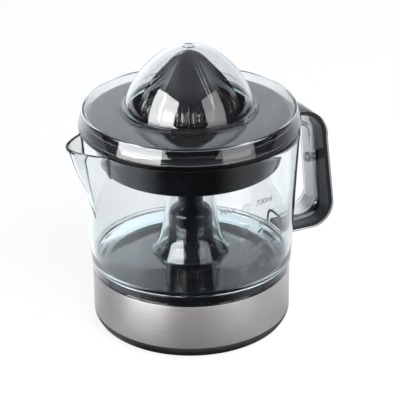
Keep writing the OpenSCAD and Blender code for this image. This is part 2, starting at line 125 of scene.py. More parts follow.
HANDLE_W = 22
HANDLE_D = 11.4
HANDLE_TOP = (76.2, 112.6)          # centres of the handle's corners, as (x, z)
HANDLE_TOP_R = 21.6
HANDLE_LOW = (87.3, 62.6)
HANDLE_LOW_R = 16
GRIP_LOW = (80.5, 68.5)
GRIP_LOW_R = 9.6
HANDLE_ROOT_TOP = (135.9, 124.5)    # outer and inner height at the upper root, then the lower one
HANDLE_ROOT_LOW = (47, 58.6)
CHANNEL_T = 2
COVER_T = 3.4
COVER_GAP = 1.9                     # the cover's ends stop this far from the wall
COVER_CROWN = 0.35
BOSS_Z = (SCREW_LOW.z + SCREW_HIGH.z) / 2
BOSS_R = 3.4
JUG_BOSS = (87, 92.5)               # from and to, along X
COVER_BOSS = (92.6, 96)
SCREW_HEAD_HOLE = 2.4
SCREW_HOLE = 1.4

MARK_HEIGHTS = {100: 60.5, 300: 75.8, 500: 91.0, 700: 106.5}
MARK_FACING = math.radians(-82.8)
LABEL_TURN = math.radians(7.6)      # from the facing angle
SYMBOL_TURN = math.radians(-4)
MAX_TURN = math.radians(-14.4)
MAX_Z = 106.6
MARK_HALF_T = 0.06

STRAINER_R = 66.9
LIP_R = STRAINER_HIGH.x
STRAINER_FLOOR_R = 59
STRAINER_FLOOR = 116
STRAINER_T = 2
COLLAR_Z = 107                      # foot of the collar that fits over the chimney
COLLAR_T = 1.8
SLOTS = 40
OUTER_SLOT = (43, 54, 0.8)          # from radius, to radius, half width
INNER_SLOT = (24, 37, 0.7)
CONE_R = CONE_HIGH.y
CONE_TOP = CONE_HIGH.z
RIDGES = 5
RIDGE_TURN = math.radians(63)
RIBS_PER_RIDGE = 11
RIB_DEPTH = 0.7
FACET_DEPTH = 2.4                   # of the facets below the blades, and of the lower part
LOWER_DEPTH = 0.6

LID_R = LID_HIGH.x
LID_Z = 150.5
LID_T = 1.8
LID_SLOPE = 2.5                     # the skirt leans in by this much on its way up
LID_FILLET = 1.2
DOME_R = 41.9
DOME_TOP = LID_HIGH.z - 0.3
DOME_CENTRE = 138.9
DOME_STEPS = 40
GATE_R = 3.9                        # small disc on the dome's top


# ---- Outlines ----

def arc(cx, cy, r, start, end, steps):
    """Points of an arc, angles in degrees."""
    angles = [math.radians(start + (end - start) * i / steps) for i in range(steps + 1)]
    return [(cx + r * math.cos(a), cy + r * math.sin(a)) for a in angles]


def rounded(corners, steps=3):
    """Closed outline through (x, y, radius) corners, each rounded by its radius."""
    points = []
    for i, (x, y, radius) in enumerate(corners):
        here = Vector((x, y))
        if radius == 0:
            points.append((x, y))
            continue
        back = Vector(corners[i - 1][:2]) - here
        ahead = Vector(corners[(i + 1) % len(corners)][:2]) - here
        half = back.angle(ahead) / 2
        reach = radius / math.tan(half)
        centre = here + (back.normalized() + ahead.normalized()).normalized() * radius / math.sin(half)
        first = here + back.normalized() * reach - centre
        last = here + ahead.normalized() * reach - centre
        turn = first.angle_signed(last)
        for k in range(steps + 1):
            spoke = Matrix.Rotation(-turn * k / steps, 2) @ first
            points.append(tuple(centre + spoke))
    return points


def smoothstep(t):
    t = min(max(t, 0), 1)
    return t * t * (3 - 2 * t)


def spline(points, t):
    """Catmull-Rom curve through the points, t from 0 to 1."""
    ends = [points[0]] + list(points) + [points[-1]]
    place = min(t, 0.999999) * (len(points) - 1)
    i, f = int(place), place % 1
    p = [Vector(ends[i + k]) for k in range(4)]
    return 0.5 * (2 * p[1] + (p[2] - p[0]) * f + (2 * p[0] - 5 * p[1] + 4 * p[2] - p[3]) * f ** 2
                  + (3 * p[1] - p[0] - 3 * p[2] + p[3]) * f ** 3)


# ---- Meshes ----

def bridge(bm, ring, other, closed=True):
    """Faces between two rings of points; a ring of one point is a pole."""
    count = max(len(ring), len(other))
    for i in range(count if closed else count - 1):
        k = (i + 1) % count
        if len(ring) == 1 and len(other) == 1:
            return
        if len(ring) == 1:
            bm.faces.new((ring[0], other[k], other[i]))
        elif len(other) == 1:
            bm.faces.new((ring[i], ring[k], other[0]))
        else:
            bm.faces.new((ring[i], ring[k], other[k], other[i]))


def even_angles(count):
    return [math.tau * i / count for i in range(count)]


def lathe(outline, angles, shape=None):
    """Solid of a closed outline of (radius, height) points swept round Z. shape(r, z, angle, index)
    may give another (radius, height)."""
    bm = bmesh.new()
    rings = []
    for index, (r, z) in enumerate(outline):
        if abs(r) < 1e-6:
            rings.append([bm.verts.new((0, 0, z))])
            continue
        ring = []
        for a in angles:
            radius, height = shape(r, z, a, index) if shape else (r, z)
            ring.append(bm.verts.new((radius * math.cos(a), radius * math.sin(a), height)))
        rings.append(ring)
    for ring, other in zip(rings, rings[1:] + rings[:1]):
        bridge(bm, ring, other)
    return bm


def loft(sections):
    """Solid through closed sections of 3-D points, with flat ends."""
    bm = bmesh.new()
    rings = [[bm.verts.new(p) for p in section] for section in sections]
    for ring, other in zip(rings, rings[1:]):
        bridge(bm, ring, other)
    bm.faces.new(rings[0])
    bm.faces.new(reversed(rings[-1]))
    return bm


def drum(r, low, high, axis, centre):
    """Solid cylinder from low to high along X or Y through centre."""
    turn = {"X": Matrix.Rotation(math.pi / 2, 4, "Y"), "Y": Matrix.Rotation(-math.pi / 2, 4, "X")}[axis]
    bm = lathe([(0, low), (r, low), (r, high), (0, high)], even_angles(32))
    bm.transform(Matrix.Translation(centre) @ turn)
    return bm


def block(low, high, turn):
    """Solid box between two corners, turned about Z."""
    bm = bmesh.new()
    size = Vector(high) - Vector(low)
    centre = (Vector(high) + Vector(low)) / 2
    place = Matrix.Rotation(turn, 4, "Z") @ Matrix.Translation(centre)
    bmesh.ops.create_cube(bm, size=1, matrix=place @ Matrix.Diagonal((*size, 1)))
    return bm


def add_object(name, data):
    obj = bpy.data.objects.new(name, data)
    bpy.context.scene.collection.objects.link(obj)
    return obj


def as_mesh(name, bm):
    mesh = bpy.data.meshes.new(name)
    bm.to_mesh(mesh)
    bm.free()
    return mesh


def as_object(name, bm):
    """Object of a mesh drawn in millimetres; the mesh is in metres."""
    bmesh.ops.recalc_face_normals(bm, faces=bm.faces)
    bm.transform(Matrix.Scale(MM, 4))
    return add_object(name, as_mesh(name, bm))


def gathered(parts):
    """One mesh of separate solids that don't touch."""
    bm = bmesh.new()
    for part in parts:
        bmesh.ops.recalc_face_normals(part, faces=part.faces)
        mesh = as_mesh("part", part)
        bm.from_mesh(mesh)
        bpy.data.meshes.remove(mesh)
    return bm


def combine(obj, tool_mesh, operation):
    """Joins a solid to obj, or cuts it away."""
    tool = as_object("tool", tool_mesh)
    step = obj.modifiers.new("combine", "BOOLEAN")
    step.operation = operation
    step.solver = "EXACT"
    step.object = tool
    graph = bpy.context.evaluated_depsgraph_get()
    mesh = bpy.data.meshes.new_from_object(obj.evaluated_get(graph))
    obj.modifiers.clear()
    obj.data = mesh
    bpy.data.objects.remove(tool)


def smooth(mesh, crease):
    """Smooth faces, with a sharp edge wherever the surface turns by more than crease degrees."""
    bm = bmesh.new()
    bm.from_mesh(mesh)
    for face in bm.faces:
        face.smooth = True
    for edge in bm.edges:
        edge.smooth = len(edge.link_faces) == 2 and edge.calc_face_angle(0) < math.radians(crease)
    bm.to_mesh(mesh)
    bm.free()


def coat(obj, material):
    """Gives obj one of MATERIALS and no other."""
    obj.data.materials.clear()
    obj.data.materials.append(MATERIALS[material])


def dress(obj, body, nodes, slot, material=None, crease=32):
    """Makes obj a finished piece: shading, body, hides the nodes it stands for, and gives it the slot's
    material unless another is named."""
    smooth(obj.data, crease)
    coat(obj, material or slot)
    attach(obj, body)
    if nodes:
        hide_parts(*nodes)


# ---- Material nodes ----

def node(tree, kind, inputs=None, **settings):
    """Adds a node. inputs maps a socket's name or number to a value or to another socket."""
    made = tree.nodes.new(kind)
    for key, value in settings.items():
        setattr(made, key, value)
    for key, value in (inputs or {}).items():
        if isinstance(value, bpy.types.NodeSocket):
            tree.links.new(value, made.inputs[key])
        else:
            made.inputs[key].default_value = value
    return made


def new_material(name, **values):
    """Material with one Principled node; values are its plain sockets."""
    material = bpy.data.materials.new(name)
    material.use_nodes = True
    tree = material.node_tree
    shader = tree.nodes["Principled BSDF"]
    for key, value in values.items():
        shader.inputs[key.replace("_", " ")].default_value = value
    return material, tree, shader


def calculate(tree, operation, *values):
    """One Math node of one or two values, each a number or a socket."""
    return node(tree, "ShaderNodeMath", dict(enumerate(values)), operation=operation).outputs[0]


def blend(tree, share, low, high):
    """Mixes two colours by a share from 0 to 1."""
    inputs = {0: share, 6: (*low, 1), 7: (*high, 1)}
    return node(tree, "ShaderNodeMix", inputs, data_type="RGBA").outputs[2]


def place_on(tree):
    """Place on the object, in metres."""
    return node(tree, "ShaderNodeTexCoord").outputs["Object"]


def light_path(tree, output):
    return node(tree, "ShaderNodeLightPath").outputs[output]


def mix_shaders(tree, share, low, high):
    return node(tree, "ShaderNodeMixShader", {0: share, 1: low, 2: high}).outputs[0]


def noise(tree, scale, detail=3, vector=None, stretch=None):
    """Noise by place on the object, scale in waves per metre."""
    vector = vector or place_on(tree)
    if stretch:
        vector = node(tree, "ShaderNodeMapping", {"Vector": vector, "Scale": stretch}).outputs["Vector"]
    inputs = {"Vector": vector, "Scale": scale, "Detail": detail}
    return node(tree, "ShaderNodeTexNoise", inputs).outputs["Fac"]


def spread(tree, value, low, high, source_low=0.3, source_high=0.7):
    """Maps a value's range, a noise value's by default, to the range low to high."""
    inputs = {"Value": value, "From Min": source_low, "From Max": source_high,
              "To Min": low, "To Max": high}
    return node(tree, "ShaderNodeMapRange", inputs).outputs["Result"]


def tint(tree, value, low, high):
    """Mixes two colours by a noise value."""
    return blend(tree, spread(tree, value, 0, 1), low, high)


def bump(tree, height, strength, distance, normal=None):
    inputs = {"Height": height, "Strength": strength, "Distance": distance}
    if normal:
        inputs["Normal"] = normal
    return node(tree, "ShaderNodeBump", inputs).outputs["Normal"]


def link(tree, source, target, socket):
    tree.links.new(source, target.inputs[socket])


# ---- Materials ----

def gloss_plastic(name, dark, light, rough):
    """Polished moulded plastic: faint waviness, fine haze and slight colour drift."""
    material, tree, shader = new_material(name, IOR=1.52)
    link(tree, tint(tree, noise(tree, 45), dark, light), shader, "Base Color")
    link(tree, spread(tree, noise(tree, 160, 4), rough * 0.75, rough * 1.3), shader, "Roughness")
    wave = bump(tree, noise(tree, 70, 1), 0.12, 0.0004)
    link(tree, bump(tree, noise(tree, 2600, 2), 0.05, 0.00003, wave), shader, "Normal")
    return material


def textured_plastic(name, dark, light, rough, grain_mm, depth):
    """Moulded plastic with a spark-eroded grain."""
    material, tree, shader = new_material(name, IOR=1.5)
    grain = noise(tree, 1 / (grain_mm * MM), 3)
    link(tree, tint(tree, noise(tree, 60), dark, light), shader, "Base Color")
    link(tree, spread(tree, grain, rough - 0.06, rough + 0.06), shader, "Roughness")
    link(tree, bump(tree, grain, depth, 0.00008), shader, "Normal")
    return material


# Painted shade: the grey that the handle's clear plastic darkens to, between these two places along X.
PAINTED_SHADE_GREY = (0.42, 0.43, 0.45)
PAINTED_SHADE_FROM = 79                     # along X
PAINTED_SHADE_TO = 97


def clear_plastic(name, colour, absorb, density, rough):
    """Clear moulded plastic that lets lamps through and turns teal along its thickness. Beyond the jug's
    wall, in the handle, its colour darkens outwards to grey: painted shade."""
    material, tree, shader = new_material(name, IOR=1.5, Transmission_Weight=1)
    place = node(tree, "ShaderNodeSeparateXYZ", {0: place_on(tree)})
    # Painted shade: the colour darkens outwards along X, over the handle.
    painted_shade = spread(tree, place.outputs["X"], 0, 1, PAINTED_SHADE_FROM * MM, PAINTED_SHADE_TO * MM)
    link(tree, blend(tree, painted_shade, colour, PAINTED_SHADE_GREY), shader, "Base Color")
    link(tree, spread(tree, noise(tree, 90, 3), rough * 0.5, rough * 1.5), shader, "Roughness")
    link(tree, bump(tree, noise(tree, 55, 1), 0.04, 0.0004), shader, "Normal")
    through = node(tree, "ShaderNodeBsdfTransparent", {"Color": (*colour, 1)}).outputs[0]
    out = tree.nodes["Material Output"]
    shadow_ray = light_path(tree, "Is Shadow Ray")
    link(tree, mix_shaders(tree, shadow_ray, shader.outputs[0], through), out, "Surface")
    volume = node(tree, "ShaderNodeVolumeAbsorption", {"Color": (*absorb, 1), "Density": density})
    link(tree, volume.outputs[0], out, "Volume")
    return material


def brushed_steel(name):
    """Sheet steel brushed round the band: long fine grain that stretches reflections upright."""
    values = {"Metallic": 0.42, "Anisotropic": 0.7, "Anisotropic_Rotation": 0.25}
    material, tree, shader = new_material(name, **values)
    place = node(tree, "ShaderNodeSeparateXYZ", {0: place_on(tree)}).outputs
    back = calculate(tree, "MULTIPLY", place["Y"], -1)
    around = calculate(tree, "ARCTAN2", place["X"], back)
    along = calculate(tree, "MULTIPLY", around, BASE_R * MM)
    flat = node(tree, "ShaderNodeCombineXYZ", {"X": along, "Y": place["Z"]}).outputs[0]
    fine = noise(tree, 1, 4, flat, (90, 7000, 1))
    coarse = noise(tree, 1, 3, flat, (35, 1500, 1))
    grain = calculate(tree, "ADD", fine, coarse)
    share = spread(tree, grain, 0, 1, 0.7, 1.3)
    colour = blend(tree, share, (0.53, 0.51, 0.505), (0.65, 0.63, 0.625))
    link(tree, colour, shader, "Base Color")
    link(tree, spread(tree, fine, 0.36, 0.46), shader, "Roughness")
    link(tree, bump(tree, grain, 0.12, 0.00002), shader, "Normal")
    tangent = node(tree, "ShaderNodeTangent", direction_type="RADIAL", axis="Z").outputs[0]
    link(tree, tangent, shader, "Tangent")
    return material


EVEN = (1, 1, 1)


def metal(name, dark, light, rough, grain_mm, stretch=EVEN, depth=0.1):
    """Bare metal with a worked surface; stretch draws the grain out along an axis."""
    material, tree, shader = new_material(name, Metallic=1)
    grain = noise(tree, 1 / (grain_mm * MM), 4, stretch=stretch)
    link(tree, tint(tree, noise(tree, 140, 4), dark, light), shader, "Base Color")
    link(tree, spread(tree, grain, rough - 0.08, rough + 0.08), shader, "Roughness")
    link(tree, bump(tree, grain, depth, 0.00004), shader, "Normal")
    return material


def winding(name):
    """Enamelled copper wire wound in layers round the coil's own axis."""
    material, tree, shader = new_material(name, Metallic=0.85, Coat_Weight=0.6, Coat_Roughness=0.15)
    inputs = {"Vector": place_on(tree), "Scale": 330, "Distortion": 0.4, "Detail": 1}
    turns = node(tree, "ShaderNodeTexWave", inputs, bands_direction="Z").outputs["Fac"]
    link(tree, tint(tree, turns, (0.30, 0.10, 0.035), (0.66, 0.30, 0.12)), shader, "Base Color")
    link(tree, spread(tree, noise(tree, 900), 0.25, 0.4), shader, "Roughness")
    link(tree, bump(tree, turns, 0.6, 0.0002), shader, "Normal")
    return material


COAL = (0.004, 0.004, 0.005)
TEAL = (0.25, 0.64, 0.70)

RECIPES = {
    "black_gloss": (gloss_plastic, COAL, (0.007, 0.007, 0.008), 0.07),
    "strainer_black": (gloss_plastic, COAL, (0.006, 0.006, 0.008), 0.06),
    "cone_black": (gloss_plastic, COAL, (0.007, 0.007, 0.008), 0.08),
    "brushed_steel": (brushed_steel,),
    "grey_plastic": (textured_plastic, (0.052, 0.049, 0.054), (0.070, 0.067, 0.072), 0.55, 0.45, 0.35),
    "black_matte": (textured_plastic, (0.016, 0.016, 0.018), (0.026, 0.026, 0.028), 0.42, 0.5, 0.25),
    "rubber": (textured_plastic, (0.018, 0.018, 0.018), (0.030, 0.030, 0.030), 0.8, 0.7, 0.3),
    "clear_plastic": (clear_plastic, (0.975, 0.985, 0.987), TEAL, 17, 0.02),
    "clear_lid": (clear_plastic, (0.975, 0.982, 0.985), TEAL, 17, 0.015),
    "zinc_screw": (metal, (0.50, 0.50, 0.53), (0.68, 0.68, 0.70), 0.3, 0.4),
    "zinc_plate": (metal, (0.48, 0.48, 0.50), (0.66, 0.66, 0.68), 0.36, 2.5, EVEN, 0.05),
    "shaft_steel": (metal, (0.42, 0.42, 0.44), (0.58, 0.58, 0.60), 0.22, 0.6, (0.3, 0.3, 3)),
    "bronze": (metal, (0.42, 0.28, 0.12), (0.60, 0.43, 0.20), 0.45, 0.25, EVEN, 0.3),
    "copper_winding": (winding,),
    "gear_acetal": (textured_plastic, (0.66, 0.63, 0.55), (0.76, 0.74, 0.67), 0.38, 1.2, 0.12),
    "marks": (textured_plastic, (0.20, 0.21, 0.22), (0.27, 0.28, 0.29), 0.5, 0.3, 0.1),
}
MATERIALS = {name: recipe(name, *values) for name, (recipe, *values) in RECIPES.items()}


# ---- Base ----

def screw_post(angle):
    """Post for one of the bottom cover's screws, with a blind hole from below."""
    top = DECK_Z - 1
    outline = [(POST_HOLE, POST_LOW), (POST_R, POST_LOW), (POST_R, top), (0, top), (0, POST_HOLE_TOP),
               (POST_HOLE, POST_HOLE_TOP)]
    bm = lathe(outline, even_angles(32))
    bm.transform(Matrix.Translation((POST_CIRCLE * math.cos(angle), POST_CIRCLE * math.sin(angle), 0)))
    return bm


def cut_gland_hole(obj):
    combine(obj, drum(GLAND_HOLE, BASE_R - 8, BASE_R + 3, "Y", (0, 0, GLAND_Z)), "DIFFERENCE")


def base_housing():
    """Upper moulding: the band's seat, the collar, the deck, the flared tower and its neck."""
    seat = BASE_R - 0.7
    collar = BASE_R - 0.1
    collar_top = BAND_HIGH.z + 0.55
    tower_in = TOWER_R - HOUSING_WALL
    flare = TOWER_FOOT_R - TOWER_R
    foot = [(TOWER_FOOT_R - flare * math.sin(a), DECK_Z + TOWER_FLARE * (1 - math.cos(a)))
            for a in (math.pi / 2 * i / 16 for i in range(17))]
    shoulder = arc(TOWER_R - SHOULDER_R, SHOULDER_Z, SHOULDER_R, 0, 80, 8)
    neck = rounded([(NECK_R, NECK_LOW, 0), (NECK_R, HOUSING_TOP, 0.8), (SHAFT_BORE, HOUSING_TOP, 0),
                    (SHAFT_BORE, SHAFT_BORE_LOW, 0), (tower_in, TOWER_HOLLOW[1], 0)])
    rim = rounded([(SEAT_IN_R, BAND_LOW.z, 0), (seat, BAND_LOW.z, 0), (seat, BAND_HIGH.z, 0),
                   (collar, BAND_HIGH.z, 0.15), (collar, collar_top, 0.2), (DECK_R, collar_top, 0.2),
                   (DECK_R, DECK_Z, 1.4), (0, DECK_Z, 0)], 4)[:-1]
    deck_under = DECK_Z - HOUSING_WALL
    under = [(tower_in, TOWER_HOLLOW[0]), (16, deck_under), (SEAT_IN_R, deck_under)]
    obj = as_object("base_shell", lathe(rim + foot + shoulder + neck + under, even_angles(180)))
    cut_gland_hole(obj)
    combine(obj, gathered([screw_post(math.radians(a)) for a in POST_ANGLES]), "UNION")
    dress(obj, "base", ["base_housing"], "black_gloss")


def steel_band():
    """Rolled steel band with eased edges and the gland's hole."""
    inner = BASE_R - 0.65
    outline = rounded([(inner, BAND_LOW.z, 0.15), (BASE_R, BAND_LOW.z, 0.3), (BASE_R, BAND_HIGH.z, 0.3),
                       (inner, BAND_HIGH.z, 0.15)])
    obj = as_object("brushed_band", lathe(outline, even_angles(240)))
    cut_gland_hole(obj)
    dress(obj, "base", ["steel_band"], "brushed_steel")


# ---- Jug ----

def jug_r(z):
    """Outer radius of the jug's wall."""
    return JUG_FLOOR_R + (JUG_RIM_R - JUG_FLOOR_R) * (z - FLOOR_Z) / (RIM_Z - FLOOR_Z)


def chimney_r(z):
    """Outer radius of the chimney: a slow taper that flares into the floor."""
    taper = CHIMNEY_TAPER * ((CHIMNEY_TOP - z) / CHIMNEY_TAPER_H) ** 2
    return CHIMNEY_R + taper + CHIMNEY_FLARE * math.exp(-(z - FLOOR_Z) / CHIMNEY_FLARE_H)


SPOUT_KEEL = [(0, SPOUT_ROOT_Z), (5.2, 108), (10.2, 121), (SPOUT_R - JUG_RIM_R, RIM_Z)]


def keel_reach(z):
    """How far the spout's keel stands out of the wall at a height."""
    if z <= SPOUT_ROOT_Z:
        return 0
    low, high = 0.0, 1.0
    for _ in range(24):             # halvings, fine enough for any mesh
        mid = (low + high) / 2
        low, high = (mid, high) if spline(SPOUT_KEEL, mid).y < z else (low, mid)
    return max(spline(SPOUT_KEEL, low).x, 0)


def spout_r(z, angle, inset):
    """Radius of the wall at an angle from the spout's middle: a V whose sides touch the round wall."""
    wall = jug_r(z) - inset
    half = SPOUT_HALF * min(1, max(0, (z - SPOUT_ROOT_Z) / SPOUT_OPENING)) ** 0.8
    if half < 1e-4 or angle >= half:
        return wall
    keel = wall + keel_reach(z)
    blunt = SPOUT_BLUNT * half / SPOUT_HALF
    a = math.hypot(angle, blunt) - blunt * (angle / half) * (math.hypot(half, blunt) - half) / blunt
    a = min(a, half)
    near = Vector((wall * math.cos(half), wall * math.sin(half)))
    reach = near.y * math.cos(blunt) - near.x * math.sin(blunt)
    tip = Vector((keel * reach / (near.y - keel * math.sin(blunt)), 0))
    side = near - tip
    return tip.x * side.y / (side.y * math.cos(a) - side.x * math.sin(a))


def jug_angles():
    """Angles round the jug, closer together over the spout."""
    coarse_step, fine_step, spout_from = 2.5, 0.625, 155
    coarse = [-spout_from + coarse_step * i for i in range(125)]
    fine = [spout_from + fine_step * i for i in range(1, 80)]
    return [math.radians(a) for a in coarse + fine]


def jug():
    """Vessel, spout, chimney, floor and skirt in one wall, with the handle's open channel."""
    floor_top = FLOOR_Z + FLOOR_T
    rim_out, rim_in = jug_r(RIM_Z), jug_r(RIM_Z) - JUG_WALL
    chimney_out = chimney_r(CHIMNEY_TOP)
    rows = [WALL_LOW + (RIM_Z - 1 - WALL_LOW) * (i / 30) ** 1.15 for i in range(31)]
    skirt_in = JUG_FLOOR_R - SKIRT_T
    skirt = [(skirt_in, SKIRT_Z), (JUG_FLOOR_R - 1.0, SKIRT_Z), (JUG_FLOOR_R - 0.7, SKIRT_Z + 0.3),
             (JUG_FLOOR_R - 0.1, FLOOR_Z - 0.6), (JUG_FLOOR_R + 0.02, FLOOR_Z + 0.4)]
    outer = [(jug_r(z), z) for z in rows]
    rim = [(rim_out - 0.12, RIM_Z - 0.35), (rim_out - 0.5, RIM_Z), (rim_in + 0.5, RIM_Z),
           (rim_in + 0.12, RIM_Z - 0.35)]
    inner = [(jug_r(z) - JUG_WALL, z) for z in reversed(rows[2:])]
    fillet = arc(JUG_FLOOR_R - JUG_WALL - 1.3, floor_top + 1.3, 1.3, -2, -90, 6)
    rise = [floor_top + (CHIMNEY_TOP - floor_top) * (i / 24) ** 1.8 for i in range(25)]
    chimney = [(chimney_r(z), z) for z in rise[:-1]]
    top = [(chimney_out - 0.1, CHIMNEY_TOP - 0.3), (chimney_out - 0.4, CHIMNEY_TOP),
           (chimney_out - CHIMNEY_WALL, CHIMNEY_TOP)]
    bore = [(chimney_r(z) - CHIMNEY_WALL, z) for z in reversed([FLOOR_Z] + rise[1:-1])]
    under = [(JUG_FLOOR_R - 4, FLOOR_Z), (skirt_in, FLOOR_Z - 1)]
    outline = skirt + outer + rim + inner + fillet + chimney + top + bore + under
    first, last = len(skirt), len(skirt + outer + rim + inner)

    def shape(r, z, angle, index):
        if not first <= index < last:
            return r, z
        from_spout = abs(math.remainder(angle - math.pi, math.tau))
        pushed = spout_r(z, from_spout, jug_r(z) - r)
        share = min(1, (pushed - r) / (SPOUT_R - JUG_RIM_R))
        lift = SPOUT_LIFT * share * smoothstep((z - RIM_Z + SPOUT_LIFT_FROM) / SPOUT_LIFT_FROM)
        return pushed, z + lift

    obj = as_object("clear_jug", lathe(outline, jug_angles(), shape))
    combine(obj, handle_channel(), "UNION")
    low = (JUG_FLOOR_R - 1.2, -0.3, SKIRT_Z + 0.2)
    high = (JUG_FLOOR_R + 0.1, 0.3, FLOOR_Z - 0.2)
    ribs = [block(low, high, SKIRT_RIB_FIRST + SKIRT_RIB_STEP * i) for i in range(SKIRT_RIBS)]
    combine(obj, gathered(ribs), "UNION")
    combine(obj, drum(BOSS_R, *JUG_BOSS, "X", (0, 0, BOSS_Z)), "UNION")
    hole = lathe([(0, 80), (SCREW_HEAD_HOLE, 80), (SCREW_HEAD_HOLE, SCREW_HIGH.x),
                  (SCREW_HOLE, SCREW_HIGH.x), (SCREW_HOLE, 100), (0, 100)], even_angles(32))
    hole.transform(Matrix.Translation((0, 0, BOSS_Z)) @ Matrix.Rotation(math.pi / 2, 4, "Y"))
    combine(obj, hole, "DIFFERENCE")
    dress(obj, "jug", ["jug"], "clear_plastic")


# ---- Handle ----

def handle_stations(root_gap):
    """Pairs of (outer, inner) points down the handle's side view, from the rim to the floor."""
    top_out = arc(*HANDLE_TOP, HANDLE_TOP_R, 72, -4, 16)
    top_in = arc(*HANDLE_TOP, HANDLE_TOP_R - HANDLE_D, 72, -4, 16)
    low_out = arc(*HANDLE_LOW, HANDLE_LOW_R, 8, -85, 18)
    low_in = arc(*GRIP_LOW, GRIP_LOW_R, 4, -85, 18)
    first = [(jug_r(z) - 1.5 + root_gap, z) for z in HANDLE_ROOT_TOP]
    last = [(jug_r(z) - 1.3 + root_gap, z) for z in HANDLE_ROOT_LOW]
    return [first, *zip(top_out, top_in), *zip(low_out, low_in), last]


def along_handle(section, stations):
    """Sections placed at each station. section(depth) gives points as (depth from the outer face,
    across)."""
    placed = []
    for outer, inner in stations:
        start = Vector((outer[0], 0, outer[1]))
        inward = Vector((inner[0], 0, inner[1])) - start
        depth = inward.length
        placed.append([start + inward.normalized() * u + Vector((0, v, 0)) for u, v in section(depth)])
    return placed


def handle_channel():
    """Clear U-shaped channel, rounded where the fingers go and open on its outer side."""
    half = HANDLE_W / 2
    hollow = half - CHANNEL_T

    def section(depth):
        bottom = depth - CHANNEL_T
        return rounded([(0, half, 0.5), (depth, half, 5.2), (depth, -half, 5.2), (0, -half, 0.5),
                        (0, -hollow, 0.3), (bottom, -hollow, 3.4), (bottom, hollow, 3.4),
                        (0, hollow, 0.3)], 5)

    return loft(along_handle(section, handle_stations(0)))


def handle_cover():
    """Glossy strip that closes the channel, slightly crowned, with eased edges."""
    half = HANDLE_W / 2 - CHANNEL_T - 0.1
    crown = [(COVER_CROWN * (y / half) ** 2, y) for y in (half * (0.8 - 1.6 * i / 6) for i in range(7))]
    side = [(COVER_T, half - 0.5), (COVER_T - 0.5, half), (1.0, half), (0.55, half - 0.3)]
    outline = side + crown + [(depth, -across) for depth, across in reversed(side)]
    sections = along_handle(lambda depth: outline, handle_stations(COVER_GAP))
    obj = as_object("handle_strip", loft(sections))
    combine(obj, drum(BOSS_R, *COVER_BOSS, "X", (0, 0, BOSS_Z)), "UNION")
    dress(obj, "jug", ["handle_cover"], "black_gloss")


# ---- Graduations ----

def wrapped_text(text, height, angle, z):
    """Letters raised from the jug's wall, centred at an angle and a height."""
    curve = bpy.data.curves.new("letters", "FONT")
    curve.body = text
    curve.size = height * 1.35      # the font's capitals are lower than its size
    curve.extrude = MARK_HALF_T
    curve.align_x = "CENTER"
    curve.align_y = "CENTER"
    source = add_object("letters", curve)
    graph = bpy.context.evaluated_depsgraph_get()
    mesh = bpy.data.meshes.new_from_object(source.evaluated_get(graph))
    bpy.data.objects.remove(source)
    bm = bmesh.new()
    bm.from_mesh(mesh)
    bpy.data.meshes.remove(mesh)
    bmesh.ops.remove_doubles(bm, verts=bm.verts, dist=1e-4)
    wrap(bm, angle, z)
    return bm


def wrap(bm, angle, z):
    """Bends a flat drawing, x across and y up, round the jug's wall."""
    for v in bm.verts:
        height = z + v.co.y
        radius = jug_r(height) + 0.09 + v.co.z
        turn = angle + v.co.x / radius
        v.co = (radius * math.cos(turn), radius * math.sin(turn), height)


def flat_ring(r, width, start, end):
    """Flat arc of a ring, angles in degrees."""
    bm = bmesh.new()
    lines = []
    corners = ((r, -MARK_HALF_T), (r + width, -MARK_HALF_T), (r + width, MARK_HALF_T), (r, MARK_HALF_T))
    for side, level in corners:
        lines.append([bm.verts.new((x, y, level)) for x, y in arc(0, 0, side, start, end, 28)])
    for line, other in zip(lines, lines[1:] + lines[:1]):
        bridge(bm, line, other, closed=False)
    for end_index in (0, -1):
        bm.faces.new([line[end_index] for line in lines])
    return bm


def graduations():
    """Raised marks: the volumes, a symbol of two open rings beside each, and the top mark."""
    parts = []
    for volume, z in MARK_HEIGHTS.items():
        label = f"{volume}ml" if volume == max(MARK_HEIGHTS) else f"{volume}"
        parts.append(wrapped_text(label, 4.2, MARK_FACING + LABEL_TURN, z + 0.8))
        for r, start, end in ((2.6, 20, 340), (1.1, 200, 520)):
            ring = flat_ring(r, 0.35, start, end)
            wrap(ring, MARK_FACING + SYMBOL_TURN, z)
            parts.append(ring)
    parts.append(wrapped_text("MAX", 3.6, MARK_FACING + MAX_TURN, MAX_Z))
    obj = as_object("graduation_marks", gathered(parts))
    dress(obj, "jug", [], "clear_plastic", material="marks")


# ---- Strainer ----

